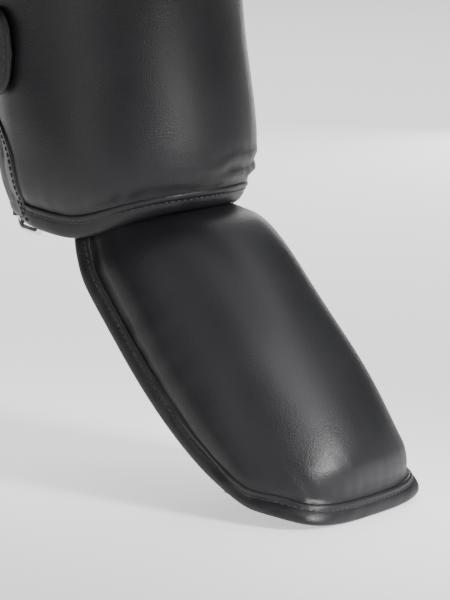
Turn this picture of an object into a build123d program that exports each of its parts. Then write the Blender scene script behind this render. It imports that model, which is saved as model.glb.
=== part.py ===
"""Shin-and-instep guard for kicking sports, left leg.

Frame: +Z runs up the leg, -Y is the front of the leg, +X is the inner side.
The origin is on the leg's axis, level with the crease at the front of the ankle.
Lengths are millimetres and angles are degrees.
"""
import os
from math import cos, exp, radians, sin

from build123d import *

os.makedirs("parts", exist_ok=True)

# ---- overall sizes ----
shin_height = 390.0          # ankle crease to the top edge at the front
instep_length = 196.0        # crease to toe edge, along the foot
instep_slope = 53.0          # how far the instep pad points below level
instep_start = (-62.0, 9.0)  # Y and Z where the instep pad's axis begins
toe_corner = 38.0            # rounding of the two toe corners in plan

# ---- wall build-up of the shin pad ----
cover_thick = 1.2
lining_thick = 0.8
impact_foam_front = 15.0
impact_foam_back = 4.5
backing_foam_front = 9.0
backing_foam_back = 2.5

# ---- wall build-up of the instep pad ----
instep_impact_crest = 10.0
instep_impact_side = 4.0
instep_backing_crest = 6.0
instep_backing_side = 2.5

# ---- bindings ----
binding_width = 11.0
binding_thick = 1.0
hem_slant = 0.075            # the hem binding's seam rises to the front
binding_split = 0.86         # share of the height where the top binding starts
gusset_thick = 1.5
gusset_gap = 0.5
gusset_drop = 12.0

# ---- straps ----
strap_width = 50.0
strap_thick = 2.6
lower_strap_height = 97.0
upper_strap_height = 287.0
strap_gap = 3.2              # strap's inner face above the cover
panel_thick = 0.8            # hook or loop panel
strap_hinge_angle = 131.0    # from the front of the leg
tab_tip_angle = 99.0
anchor_angle = 108.0
tab_margin = 0.5             # a tab is this much narrower than its strap, each side

# ---- ankle strap and its ring ----
ankle_width = 34.0
ankle_height = 14.0
ankle_thick = 2.0
ankle_shift = 9.5            # the strap circle sits off the leg's axis
ankle_inset = 4.5            # and is this much smaller than the pad
ankle_tab_hinge = 131.0
ankle_near_angle = 133.0
ankle_tip_angle = 88.0
ankle_panel_low = 18.0
ankle_panel_high = 29.0
bar_gap = 0.3                # sewn loops round the ring's bars
ring_wire = 3.4
ring_length = 44.0
ring_width = 28.0
ring_corner = 6.0
ring_tilt = 8.0
ring_lean = 4.0
ring_angle = 122.0
ring_clear = 5.6             # ring's middle inside the lining
ring_height = 15.0
keeper_thick = 1.4
keeper_width = 28.0
keeper_reach = 7.0

# ---- foot band ----
band_start = 58.0
band_width = 88.0
band_thick = 2.0
band_tilt = 10.0
band_drop = 16.0             # its floor below the pad's edges
band_inset = 14.5            # inside the pad's outer edge
band_corner = 14.0
band_lap = 6.0              # length sewn against the lining
band_anchor_thick = 1.0
band_anchor_lap = 3.0

patch_thick = 0.8
patch_curve = [(49, 68), (31, 59), (15, 38), (14, 0)]
inner_patch_curve = [(49, 68), (22, 56), (-8, 38), (-14, 0)]
far = 200.0                  # past every pad, for cutting tools

# Each row: height, front distance, radius, and how full the foam is.
ankle_rows = [
    (-20.0, 60.0, 62.0, 0.28),
    (0.0, 62.0, 63.0, 0.30),
    (10.0, 66.0, 66.0, 0.42),
    (22.0, 72.5, 70.5, 0.70),
    (40.0, 76.5, 74.5, 0.95),
    (60.0, 75.5, 75.5, 1.0),
]
calf_rows = [
    (0.333, 69.0, 79.0, 1.0),
    (0.564, 65.0, 85.0, 1.0),
    (0.770, 66.0, 87.0, 1.0),
    (0.940, 68.5, 86.0, 0.8),
    (1.040, 69.5, 84.5, 0.4),
]
shin_rows = ankle_rows + [(share * shin_height, f, r, p) for share, f, r, p in calf_rows]

hem_curve = [(-110, 12), (-76, 12), (-64, 11), (-45, 5), (-20, -3), (0, -1), (20, 2), (36, 5)]
back_curve = [(36, 5), (38, 20), (44, 60)] + [
    (y, share * shin_height)
    for y, share in [(55, 0.333), (58, 0.564), (53, 0.770), (45, 0.880), (26, 0.950), (-12, 0.985)]
] + [(-69, shin_height), (-110, shin_height)]

# Instep rows: distance from the crease, crest height, half width, foam fullness.
crest_rows = [
    (-0.10, 3.0, 60.5, 0.40),
    (0.04, 13.0, 61.5, 0.60),
    (0.13, 21.0, 63.0, 0.90),
    (0.30, 25.0, 65.0, 1.0),
    (0.56, 26.0, 66.0, 1.0),
    (0.77, 21.0, 64.5, 0.95),
    (0.90, 13.0, 62.5, 0.70),
    (1.00, 4.0, 61.0, 0.35),
    (1.06, 0.0, 60.5, 0.25),
]
edge_depth = 51.0
edge_fade = 50.0
toe_depth = 8.0
arch_base = 90.0
plan_flare = 19.0            # keeps the plan's sides clear of the pad's sides
plan_start = 40.0
instep_top = 6.0             # the pad begins this far down its axis


# ---- curves that several pieces share ----
def shin_at(height):
    """Front distance and radius of the pad's outside, and its fullness, at a height."""
    for low, high in zip(shin_rows, shin_rows[1:]):
        if height <= high[0]:
            share = (height - low[0]) / (high[0] - low[0])
            return [low[i] + share * (high[i] - low[i]) for i in (1, 2, 3)]
    return shin_rows[-1][1:]


def foam_at(angle):
    """Full foam thickness of the shin pad at an angle from the front."""
    front = impact_foam_front + backing_foam_front
    back = impact_foam_back + backing_foam_back
    return (front + back) / 2 + (front - back) / 2 * cos(radians(angle))


def edge_drop(distance):
    """How far the instep pad's long edges lie below its axis."""
    return edge_depth * (1 - exp(-max(instep_length - distance, 0.0) / edge_fade)) + 1.0


def shifted(points, amount):
    """Points moved square to their own curve, to its right."""
    moved = []
    for i, (x, y) in enumerate(points):
        before = points[max(i - 1, 0)]
        after = points[min(i + 1, len(points) - 1)]
        run = Vector(after[0] - before[0], after[1] - before[1]).normalized()
        moved.append((x + amount * run.Y, y - amount * run.X))
    return moved


# ---- tools: solids that shape the pads ----
def shin_tube(front_depth, back_depth, foam_front=0.0, foam_back=0.0):
    """Leg-shaped solid that lies a given depth inside the pad's outside."""
    with BuildPart() as tube:
        for height, front, radius, fullness in shin_rows:
            at_front = front_depth + foam_front * fullness
            at_back = back_depth + foam_back * fullness
            inner = radius - (at_front + at_back) / 2
            with BuildSketch(Plane.XY.offset(height)):
                with Locations((0, at_front + inner - front)):
                    Circle(inner)
        loft()
    return tube.part


def side_trim(amount):
    """Side view of the shin pad, grown by amount, as a block across the leg."""
    corner = (hem_curve[-1][0] + amount, hem_curve[-1][1] - amount)
    hem = shifted(hem_curve, amount)[:-1] + [corner]
    back = [corner] + shifted(back_curve, amount)[1:]
    with BuildPart() as block:
        with BuildSketch(Plane.YZ):
            with BuildLine():
                lower = Spline(*hem)
                upper = Spline(*back)
                Line(upper @ 1, lower @ 0)
            make_face()
        extrude(amount=far, both=True)
    return block.part


def slope_vectors():
    turn = radians(instep_slope)
    along = Vector(0, -cos(turn), -sin(turn))
    out = Vector(0, -sin(turn), cos(turn))
    return along, out


def instep_point(distance, height, x=0.0):
    """A place on the foot: distance down the instep, height out of it."""
    along, out = slope_vectors()
    return Vector(x, *instep_start) + along * distance + out * height


def instep_edge(distance):
    """Height of the instep pad's long edge, flat along the toe."""
    return -max(edge_drop(distance), toe_depth)


def instep_arch(crest_depth, side_depth, foam_crest=0.0, foam_side=0.0):
    """Arched block that lies a given depth inside the instep pad's outside."""
    with BuildPart() as arch_block:
        for share, crest, half_width, fullness in crest_rows:
            distance = share * instep_length
            half = half_width - side_depth - foam_side * fullness
            top = crest - crest_depth - foam_crest * fullness
            edge = instep_edge(distance)
            place = Plane(instep_point(distance, 0), x_dir=(1, 0, 0), z_dir=instep_axis())
            with BuildSketch(place):
                with BuildLine():
                    arch = ThreePointArc((-half, edge), (0, top), (half, edge))
                    Polyline(arch @ 1, (half, -arch_base), (-half, -arch_base), arch @ 0)
                make_face()
        loft()
    return arch_block.part


def instep_side_trim(amount, top):
    """Side view of the instep pad, grown by amount at its long edges."""
    along, _ = slope_vectors()
    toe = instep_length + 3.0
    rows = [top + share * (toe - top) for share in (0, 0.3, 0.6, 0.75, 0.88, 0.96, 1)]
    edge = []
    for distance in rows:
        fade = 1.0 if amount > 0 else max(1 - (distance / toe) ** 6, 0.05)
        edge.append((distance, instep_edge(distance) - amount * fade))
    place = Plane(instep_point(0, 0), x_dir=along, z_dir=(-1, 0, 0))
    with BuildPart() as block:
        with BuildSketch(place):
            with BuildLine():
                line = Spline(*edge)
                Polyline(line @ 1, (toe + 20, edge[-1][1]), (toe + 20, far), (top, far), line @ 0)
            make_face()
        extrude(amount=far, both=True)
    return block.part


def instep_plan_trim(amount):
    """Plan of the instep pad with its rounded toe, grown by amount."""
    _, out = slope_vectors()
    place = Plane(instep_point(0, 0), x_dir=(1, 0, 0), z_dir=-out)
    toe_half = crest_rows[-2][2] + amount
    ankle_half = toe_half + plan_flare - 4 * amount
    toe = instep_length + amount
    with BuildPart() as block:
        with BuildSketch(place) as outline:
            with BuildLine():
                Polyline(
                    (-ankle_half, -plan_start), (-toe_half, toe), (toe_half, toe),
                    (ankle_half, -plan_start), close=True,
                )
            make_face()
            fillet(outline.vertices().sort_by(Axis.Y)[-2:], toe_corner + amount)
        extrude(amount=far, both=True)
    return block.part


def instep_axis():
    return slope_vectors()[0]


def strap_circle(height, shift=0.0, inset=0.0):
    """Centre and radius of a strap's circle at a height."""
    front, radius, _ = shin_at(height)
    return (shift, radius - front), radius - inset


def strap_shell(low, high, inner, outer, shift=0.0, inset=0.0):
    """Straight-sided band between two heights, round the whole leg."""
    with BuildPart() as shell:
        for offset, mode in ((outer, Mode.ADD), (inner, Mode.SUBTRACT)):
            for height in (low, high):
                centre, radius = strap_circle(height, shift, inset)
                with BuildSketch(Plane.XY.offset(height)):
                    with Locations(centre):
                        Circle(radius + offset)
            loft(ruled=True, mode=mode)
    return shell.part


def direction(angle):
    """Unit vector in plan; angle counts from the front towards the inner side."""
    return Vector(sin(radians(angle)), -cos(radians(angle)), 0)


def wedge(low, high, start, end, shift=0.0):
    """Sector of the leg's plan between two angles, sheared as the strap is."""
    steps = max(int(abs(end - start) / 45) + 1, 2)
    angles = [start + (end - start) * i / steps for i in range(steps + 1)]
    centres = [Vector(*strap_circle(height, shift)[0], height) for height in (low, high)]
    lean = (centres[1] - centres[0]) / (high - low)
    with BuildPart() as block:
        for height in (low - 5, high + 5):
            middle = centres[0] + lean * (height - low)
            corners = [middle] + [middle + direction(a) * far for a in angles]
            with BuildSketch(Plane.XY.offset(height)):
                with BuildLine():
                    Polyline(*[(p.X, p.Y) for p in corners], close=True)
                make_face()
        loft(ruled=True)
    return block.part


def side_window(y_low, y_high, z_low, z_high, side, corner=0.0):
    """Rounded window through one wing, seen from the side (-1 outer, +1 inner)."""
    with BuildPart() as block:
        with BuildSketch(Plane.YZ):
            with Locations(((y_low + y_high) / 2, (z_low + z_high) / 2)):
                if corner > 0:
                    RectangleRounded(y_high - y_low, z_high - z_low, corner)
                else:
                    Rectangle(y_high - y_low, z_high - z_low)
        extrude(amount=side * far)
    return block.part


def finish(shape, name):
    """Label a piece and write it."""
    shape.label = name
    export_step(shape, f"parts/{name}.step")


# ---- shin pad: four layers, outside to inside ----
skin_depth = [0.0, cover_thick, cover_thick, cover_thick, cover_thick + lining_thick]
foam_front = [0.0, 0.0, impact_foam_front] + [impact_foam_front + backing_foam_front] * 2
foam_back = [0.0, 0.0, impact_foam_back] + [impact_foam_back + backing_foam_back] * 2
shin_surfaces = [
    shin_tube(skin, skin, front, back)
    for skin, front, back in zip(skin_depth, foam_front, foam_back)
]
shin_panel = side_trim(-binding_width)
shin_layers = ["shin_cover", "shin_impact_foam", "shin_backing_foam", "shin_lining"]
for i, name in enumerate(shin_layers):
    with BuildPart() as shin_layer:
        add(shin_surfaces[i])
        add(shin_surfaces[i + 1], mode=Mode.SUBTRACT)
        add(shin_panel, mode=Mode.INTERSECT)
    finish(shin_layer.part, name)

# ---- shin bindings: the pad's rim, folded leather a little thicker than the wall ----
wall_depth = skin_depth[-1] + binding_thick
with BuildPart() as shin_rim:
    add(shin_tube(-binding_thick, -binding_thick))
    add(shin_tube(wall_depth, wall_depth, foam_front[-1], foam_back[-1]), mode=Mode.SUBTRACT)
    add(side_trim(0.0), mode=Mode.INTERSECT)
    add(shin_panel, mode=Mode.SUBTRACT)

hem_back = hem_curve[-1]
hem_split = Plane(
    origin=(0, hem_back[0], hem_back[1] + binding_width),
    z_dir=(0, hem_slant, 1),
)
top_split = Plane.XY.offset(binding_split * shin_height)
with BuildPart() as shin_hem_binding:
    add(shin_rim.part)
    split(bisect_by=hem_split, keep=Keep.BOTTOM)
finish(shin_hem_binding.part, "shin_hem_binding")

with BuildPart() as shin_top_binding:
    add(shin_rim.part)
    split(bisect_by=top_split, keep=Keep.TOP)
finish(shin_top_binding.part, "shin_top_binding")

for name, keep in (("outer_side_binding", Keep.BOTTOM), ("inner_side_binding", Keep.TOP)):
    with BuildPart() as side_binding:
        add(shin_rim.part)
        split(bisect_by=hem_split, keep=Keep.TOP)
        split(bisect_by=top_split, keep=Keep.BOTTOM)
        split(bisect_by=Plane.YZ, keep=keep)
    finish(side_binding.part, name)

# ---- crease gusset: soft skirt inside the hem, over the front of the ankle ----
gusset_depth = wall_depth + gusset_gap
with BuildPart() as crease_gusset:
    add(shin_tube(gusset_depth, gusset_depth, foam_front[-1], foam_back[-1]))
    inner_depth = gusset_depth + gusset_thick
    add(shin_tube(inner_depth, inner_depth, foam_front[-1], foam_back[-1]), mode=Mode.SUBTRACT)
    with Locations((0, -far / 2 - 8, 5)):
        Box(2 * far, far, 2 * gusset_drop + 10, mode=Mode.INTERSECT)
finish(crease_gusset.part, "crease_gusset")

# ---- wing patches: leather over the lower back corners ----
patch_skin = shin_tube(-patch_thick, -patch_thick)
wing_patches = (("outer_wing_patch", -1, patch_curve), ("inner_wing_patch", 1, inner_patch_curve))
for name, side, curve in wing_patches:
    with BuildPart() as wing_patch:
        add(patch_skin)
        add(shin_surfaces[0], mode=Mode.SUBTRACT)
        add(shin_panel, mode=Mode.INTERSECT)
        with BuildPart(mode=Mode.PRIVATE) as patch_window:
            with BuildSketch(Plane.YZ):
                with BuildLine():
                    bulge = Spline(*curve)
                    Polyline(bulge @ 1, (far, curve[-1][1]), (far, curve[0][1]), bulge @ 0)
                make_face()
            extrude(amount=side * far)
        add(patch_window.part, mode=Mode.INTERSECT)
    finish(wing_patch.part, name)

# ---- calf straps: band, tab, hook and loop panels, anchor ----
hook_low = strap_gap - panel_thick
for name, middle in (("lower", lower_strap_height), ("upper", upper_strap_height)):
    low = middle - strap_width / 2
    high = middle + strap_width / 2
    outer_face = strap_gap + strap_thick
    full_band = strap_shell(low, high, strap_gap, outer_face)

    with BuildPart() as strap_band:
        add(full_band)
        add(wedge(low, high, strap_hinge_angle, 360 - strap_hinge_angle), mode=Mode.INTERSECT)
    finish(strap_band.part, f"{name}_strap_band")

    with BuildPart() as strap_anchor:
        add(full_band)
        add(wedge(low, high, anchor_angle, strap_hinge_angle - 0.3), mode=Mode.INTERSECT)
    finish(strap_anchor.part, f"{name}_strap_anchor")

    front, radius, _ = shin_at(middle)
    tip_y = radius - front - (radius + outer_face) * cos(radians(tab_tip_angle))
    with BuildPart() as strap_tab:
        add(full_band)
        add(wedge(low, high, -strap_hinge_angle + 0.3, -60), mode=Mode.INTERSECT)
        tab_outline = side_window(
            tip_y, tip_y + 3 * strap_width, low + tab_margin, high - tab_margin, -1, 0.44 * strap_width
        )
        add(tab_outline, mode=Mode.INTERSECT)
    finish(strap_tab.part, f"{name}_strap_tab")

    panel_low = low + 6
    panel_high = high - 6
    with BuildPart() as strap_hook:
        add(strap_shell(low, high, hook_low, strap_gap))
        add(wedge(low, high, -strap_hinge_angle + 14, -tab_tip_angle - 8), mode=Mode.INTERSECT)
        add(side_window(-far, far, panel_low, panel_high, -1), mode=Mode.INTERSECT)
    finish(strap_hook.part, f"{name}_strap_hook")

    with BuildPart() as loop_panel:
        add(shin_tube(-panel_thick, -panel_thick))
        add(shin_surfaces[0], mode=Mode.SUBTRACT)
        add(side_window(tip_y - 12, tip_y + 22, panel_low, panel_high, -1), mode=Mode.INTERSECT)
        add(shin_panel, mode=Mode.INTERSECT)
    finish(loop_panel.part, f"{name}_loop_panel")

# ---- strap ring and its keeper, inside the outer wing's lower corner ----
ring_front, ring_radius, ring_fullness = shin_at(ring_height)
ring_depth = wall_depth + foam_at(ring_angle) * ring_fullness + ring_clear
ring_spot = Vector(0, ring_radius - ring_front, ring_height)
ring_spot += direction(-ring_angle) * (ring_radius - ring_depth)
ring_out = direction(-ring_angle) * cos(radians(ring_lean)) - Vector(0, 0, sin(radians(ring_lean)))
ring_plane = Plane(ring_spot, x_dir=direction(90 - ring_angle), z_dir=ring_out).rotated((0, 0, ring_tilt))
with BuildSketch(ring_plane) as ring_outline:
    RectangleRounded(ring_width, ring_length, ring_corner)
ring_path = ring_outline.sketch.face().outer_wire()
with BuildPart() as strap_ring:
    with BuildSketch(Plane(ring_path @ 0, z_dir=ring_path % 0)):
        Circle(ring_wire / 2)
    sweep(path=ring_path)
finish(strap_ring.part, "strap_ring")

bar_bore = ring_wire / 2 + bar_gap
keeper_plane = Plane(
    ring_plane.from_local_coords(Vector(ring_width / 2, 0, 0)),
    x_dir=ring_plane.x_dir, z_dir=ring_plane.y_dir,
)
with BuildPart() as ring_keeper:
    with BuildSketch(keeper_plane):
        Circle(bar_bore + keeper_thick)
        with Locations((bar_bore + keeper_reach / 2, 0)):
            Rectangle(keeper_reach, 2 * keeper_thick)
        Circle(bar_bore, mode=Mode.SUBTRACT)
    extrude(amount=keeper_width / 2, both=True)
finish(ring_keeper.part, "ring_keeper")

# ---- ankle strap: sewn round the ring's back bar, closed on the inner wing ----
low = ankle_height - ankle_width / 2
high = ankle_height + ankle_width / 2
circle = {"shift": ankle_shift, "inset": ankle_inset}
bar_plane = Plane(
    ring_plane.from_local_coords(Vector(-ring_width / 2, 0, 0)), z_dir=ring_plane.y_dir
)
ankle_band_full = strap_shell(low, high, 0.0, ankle_thick, **circle)
with BuildPart() as ankle_strap_band:
    add(ankle_band_full)
    add(wedge(low, high, ankle_tab_hinge, 360 - ankle_near_angle, ankle_shift), mode=Mode.INTERSECT)
    with BuildSketch(bar_plane):
        Circle(bar_bore + ankle_thick)
    extrude(amount=ankle_width / 2 - 2, both=True)
    with BuildSketch(bar_plane):
        Circle(bar_bore)
    extrude(amount=ankle_width, both=True, mode=Mode.SUBTRACT)
finish(ankle_strap_band.part, "ankle_strap_band")

front, radius, _ = shin_at(ankle_height)
tip_y = radius - front - (radius + ankle_shift) * cos(radians(ankle_tip_angle))
with BuildPart() as ankle_strap_tab:
    add(ankle_band_full)
    add(wedge(low, high, 60, ankle_tab_hinge - 0.3, ankle_shift), mode=Mode.INTERSECT)
    tab_outline = side_window(
        tip_y, tip_y + far, low + tab_margin, high - tab_margin, 1, 0.44 * ankle_width
    )
    add(tab_outline, mode=Mode.INTERSECT)
finish(ankle_strap_tab.part, "ankle_strap_tab")

with BuildPart() as ankle_strap_hook:
    add(strap_shell(low, high, -panel_thick, 0.0, **circle))
    add(wedge(low, high, ankle_tip_angle + 8, ankle_tab_hinge - 16, ankle_shift), mode=Mode.INTERSECT)
    add(side_window(-far, far, ankle_panel_low, ankle_panel_high, 1), mode=Mode.INTERSECT)
finish(ankle_strap_hook.part, "ankle_strap_hook")

panel_top = patch_thick + panel_thick
with BuildPart() as ankle_loop_panel:
    add(shin_tube(-panel_top, -panel_top))
    add(patch_skin, mode=Mode.SUBTRACT)
    add(side_window(tip_y, tip_y + 24, ankle_panel_low, ankle_panel_high, 1), mode=Mode.INTERSECT)
    add(shin_panel, mode=Mode.INTERSECT)
finish(ankle_loop_panel.part, "ankle_loop_panel")

# ---- instep pad: four layers, outside to inside ----
instep_skin = [0.0, cover_thick, cover_thick, cover_thick, cover_thick + lining_thick]
crest_foam = [0.0, 0.0, instep_impact_crest] + [instep_impact_crest + instep_backing_crest] * 2
side_foam = [0.0, 0.0, instep_impact_side] + [instep_impact_side + instep_backing_side] * 2
instep_surfaces = [
    instep_arch(skin, skin, crest, side)
    for skin, crest, side in zip(instep_skin, crest_foam, side_foam)
]
instep_panel = instep_side_trim(-binding_width, instep_top + binding_width)
instep_plan = instep_plan_trim(-binding_width)
instep_layers = ["instep_cover", "instep_impact_foam", "instep_backing_foam", "instep_lining"]
for i, name in enumerate(instep_layers):
    with BuildPart() as instep_layer:
        add(instep_surfaces[i])
        add(instep_surfaces[i + 1], mode=Mode.SUBTRACT)
        add(instep_panel, mode=Mode.INTERSECT)
        add(instep_plan, mode=Mode.INTERSECT)
    finish(instep_layer.part, name)

# ---- instep bindings: one round the toe and sides, one along the crease ----
instep_wall = instep_skin[-1] + binding_thick
with BuildPart() as instep_inside:
    add(instep_panel)
    add(instep_plan, mode=Mode.INTERSECT)
crease_plane = Plane(instep_point(instep_top + binding_width, 0), z_dir=instep_axis())
with BuildPart() as instep_rim:
    add(instep_arch(-binding_thick, -binding_thick))
    add(
        instep_arch(instep_wall, instep_wall, crest_foam[-1], side_foam[-1]),
        mode=Mode.SUBTRACT,
    )
    add(instep_side_trim(0.0, instep_top), mode=Mode.INTERSECT)
    add(instep_plan_trim(0.0), mode=Mode.INTERSECT)
    add(instep_inside.part, mode=Mode.SUBTRACT)
for name, keep in (("instep_edge_binding", Keep.TOP), ("instep_crease_binding", Keep.BOTTOM)):
    with BuildPart() as instep_binding:
        add(instep_rim.part)
        split(bisect_by=crease_plane, keep=keep)
    finish(instep_binding.part, name)

# ---- foot band: elastic under the sole, its ends sewn inside the pad ----
tilt = radians(band_tilt)
along, out = slope_vectors()
band_along = along * cos(tilt) + out * sin(tilt)
band_plane = Plane(
    instep_point(band_start, -edge_drop(band_start)), x_dir=(1, 0, 0), z_dir=band_along
)
band_half = crest_rows[3][2] - band_inset
with BuildPart() as foot_band:
    with BuildSketch(band_plane):
        with BuildLine():
            FilletPolyline(
                (-band_half, band_lap), (-band_half, -band_drop),
                (band_half, -band_drop), (band_half, band_lap),
                radius=band_corner,
            )
        trace(line_width=band_thick)
    extrude(amount=band_width)
finish(foot_band.part, "foot_band")

anchor_x = band_half - band_thick / 2 - band_anchor_thick / 2
for name, side in (("outer_band_anchor", -1), ("inner_band_anchor", 1)):
    with BuildPart() as band_anchor:
        with BuildSketch(band_plane.offset(-band_anchor_lap)):
            with Locations((side * anchor_x, band_lap / 2 + 1)):
                Rectangle(band_anchor_thick, band_lap)
        extrude(amount=band_width + 2 * band_anchor_lap)
    finish(band_anchor.part, name)
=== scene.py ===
# %% [markdown]
# # A shin-and-instep guard
# The guard is two padded pieces of black pebbled leather, sewn together at the
# front of the ankle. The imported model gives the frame: where every pad, strap and
# ring is, and how the pieces move. This script builds what the eye sees round it.

# %% Load the frame
import math

import bmesh
import bpy
import numpy as np
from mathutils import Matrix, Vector
from mathutils.bvhtree import BVHTree


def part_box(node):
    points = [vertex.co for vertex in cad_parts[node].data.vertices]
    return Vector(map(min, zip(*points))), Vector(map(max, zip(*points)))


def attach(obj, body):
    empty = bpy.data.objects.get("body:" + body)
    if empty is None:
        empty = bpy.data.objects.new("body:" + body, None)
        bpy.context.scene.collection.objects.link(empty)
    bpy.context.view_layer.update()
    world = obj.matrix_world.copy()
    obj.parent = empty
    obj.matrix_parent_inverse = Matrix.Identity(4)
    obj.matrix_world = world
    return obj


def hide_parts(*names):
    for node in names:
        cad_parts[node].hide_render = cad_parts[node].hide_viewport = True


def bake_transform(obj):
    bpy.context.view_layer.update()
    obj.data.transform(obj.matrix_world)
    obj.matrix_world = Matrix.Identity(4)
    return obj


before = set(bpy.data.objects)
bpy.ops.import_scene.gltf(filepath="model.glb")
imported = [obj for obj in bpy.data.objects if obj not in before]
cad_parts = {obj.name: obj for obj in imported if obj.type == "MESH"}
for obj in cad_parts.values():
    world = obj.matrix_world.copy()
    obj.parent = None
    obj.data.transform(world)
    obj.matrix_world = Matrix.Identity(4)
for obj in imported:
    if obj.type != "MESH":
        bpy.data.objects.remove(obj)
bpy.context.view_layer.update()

MM = 0.001

# %% [markdown]
# The camera comes first, because every choice of detail is judged through it. It
# stands to the front and outer side of the leg, a little above level, with a long
# lens, which keeps the two pads close to their true proportions.

# %% Camera
VIEW_AZIMUTH = math.radians(-50)
VIEW_HEIGHT = math.radians(9)
VIEW_DISTANCE = 1.9
LENS = 201.3
AIM_RIGHT, AIM_DOWN = 0.0603, 0.0498

toward = Vector((
    math.sin(VIEW_AZIMUTH) * math.cos(VIEW_HEIGHT),
    -math.cos(VIEW_AZIMUTH) * math.cos(VIEW_HEIGHT),
    math.sin(VIEW_HEIGHT),
))
right = Vector((math.cos(VIEW_AZIMUTH), math.sin(VIEW_AZIMUTH), 0))
up = toward.cross(right)
camera_data = bpy.data.cameras.new("camera")
camera_data.lens = LENS
camera_data.sensor_width = 36
camera = bpy.data.objects.new("camera", camera_data)
bpy.context.scene.collection.objects.link(camera)
camera.location = toward * VIEW_DISTANCE
aim = right * AIM_RIGHT - up * AIM_DOWN
camera.rotation_euler = (camera.location - aim).to_track_quat("Z", "Y").to_euler()
bpy.context.scene.camera = camera
print("camera at", [round(c, 3) for c in camera.location])

# %% [markdown]
# ## Small tools
# A pad's skin is a grid of points. Two grids, an outer and an inner one, joined
# round their rims make a closed solid. A binding or a strap is a closed loop of
# points carried along a line, with a cap at each end. Both helpers weld nothing and
# turn every face outwards, so that each mesh is closed.

# %% Mesh helpers
def new_object(name, verts, faces, materials, face_slots=None, smooth=True):
    mesh = bpy.data.meshes.new(name)
    mesh.from_pydata([tuple(v) for v in np.asarray(verts) * MM], [], faces)
    work = bmesh.new()
    work.from_mesh(mesh)
    bmesh.ops.recalc_face_normals(work, faces=work.faces)
    work.to_mesh(mesh)
    work.free()
    for material in materials:
        mesh.materials.append(material)
    if face_slots is not None:
        mesh.polygons.foreach_set("material_index", face_slots)
    mesh.polygons.foreach_set("use_smooth", [smooth] * len(mesh.polygons))
    made = bpy.data.objects.new(name, mesh)
    bpy.context.scene.collection.objects.link(made)
    return made


def quads(rows, columns, start=0, wrap=False):
    faces = []
    last = columns if wrap else columns - 1
    for i in range(rows - 1):
        for j in range(last):
            k = (j + 1) % columns
            a, b = start + i * columns, start + (i + 1) * columns
            faces.append((a + j, a + k, b + k, b + j))
    return faces


def shell(name, outer, inner, materials):
    """Closed solid between two grids of the same size; material 0 outside, 1 inside."""
    rows, columns = outer.shape[:2]
    count = rows * columns
    verts = np.concatenate([outer.reshape(-1, 3), inner.reshape(-1, 3)])
    faces = quads(rows, columns) + quads(rows, columns, count)
    slots = [0] * (len(faces) // 2) + [len(materials) - 1] * (len(faces) // 2)
    rim = [i * columns for i in range(rows)]
    rim += [(rows - 1) * columns + j for j in range(1, columns)]
    rim += [i * columns + columns - 1 for i in range(rows - 2, -1, -1)]
    rim += [j for j in range(columns - 2, 0, -1)]
    for a, b in zip(rim, rim[1:] + rim[:1]):
        faces.append((a, b, b + count, a + count))
        slots.append(0)
    return new_object(name, verts, faces, materials, slots)


def loft(name, rings, material, closed=False):
    """Closed solid from rings of points, capped at the ends unless it is a ring itself."""
    rings = np.asarray(rings)
    count, size = rings.shape[:2]
    faces = quads(count, size, wrap=True)
    if closed:
        last = (count - 1) * size
        faces += [(last + j, last + (j + 1) % size, (j + 1) % size, j) for j in range(size)]
    else:
        faces.append(tuple(range(size)))
        faces.append(tuple(range((count - 1) * size, count * size)))
    return new_object(name, rings.reshape(-1, 3), faces, [material])


def unit(v):
    return v / np.maximum(np.linalg.norm(v, axis=-1, keepdims=True), 1e-9)


def smooth_step(x, low, high):
    t = np.clip((x - low) / (high - low), 0, 1)
    return t * t * (3 - 2 * t)


def spline(points):
    """Smooth curve through points, as a function of their first value."""
    x, y = np.array(sorted(points), float).T
    step = np.diff(x)
    slope = np.diff(y) / step
    size = len(x)
    matrix = np.eye(size)
    side = np.zeros(size)
    for i in range(1, size - 1):
        matrix[i, i - 1:i + 2] = step[i - 1], 2 * (step[i - 1] + step[i]), step[i]
        side[i] = 6 * (slope[i] - slope[i - 1])
    bend = np.linalg.solve(matrix, side)

    def at(value):
        value = np.clip(value, x[0], x[-1])
        i = np.clip(np.searchsorted(x, value) - 1, 0, size - 2)
        h, left, rest = step[i], value - x[i], x[i + 1] - value
        cubic = (bend[i] * rest**3 + bend[i + 1] * left**3) / (6 * h)
        return cubic + (y[i] / h - bend[i] * h / 6) * rest + (y[i + 1] / h - bend[i + 1] * h / 6) * left

    return at


def ripples(seed, count, low, high):
    """A smooth random curve of one value, made of waves between two wavelengths."""
    draw = np.random.RandomState(seed)
    length = draw.uniform(low, high, count)
    phase = draw.uniform(0, 2 * math.pi, count)
    return lambda x: sum(np.sin(2 * math.pi * x / l + p) for l, p in zip(length, phase)) / math.sqrt(count)


print("helpers ready")

# %% [markdown]
# ## Finishes
# The cover is coated leathercloth: black, half glossy, with a fine pebble grain that
# breaks the highlights up. Each material reads Object coordinates, so the grain is the
# same size on every piece. Roughness and bump both follow the grain.

# %% Node helper and the leather
def material_nodes(name):
    made = bpy.data.materials.new(name)
    made.use_nodes = True
    nodes, links = made.node_tree.nodes, made.node_tree.links
    shader = nodes["Principled BSDF"]
    place = nodes.new("ShaderNodeTexCoord").outputs["Object"]
    return made, nodes, links, shader, place


def noise(nodes, links, place, scale, detail=3.0, rough=0.5):
    node = nodes.new("ShaderNodeTexNoise")
    node.inputs["Scale"].default_value = scale
    node.inputs["Detail"].default_value = detail
    node.inputs["Roughness"].default_value = rough
    links.new(place, node.inputs["Vector"])
    return node.outputs["Fac"]


def spread(nodes, links, value, low, high, out_low, out_high):
    node = nodes.new("ShaderNodeMapRange")
    for key, number in zip(("From Min", "From Max", "To Min", "To Max"), (low, high, out_low, out_high)):
        node.inputs[key].default_value = number
    links.new(value, node.inputs["Value"])
    return node.outputs["Result"]


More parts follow.
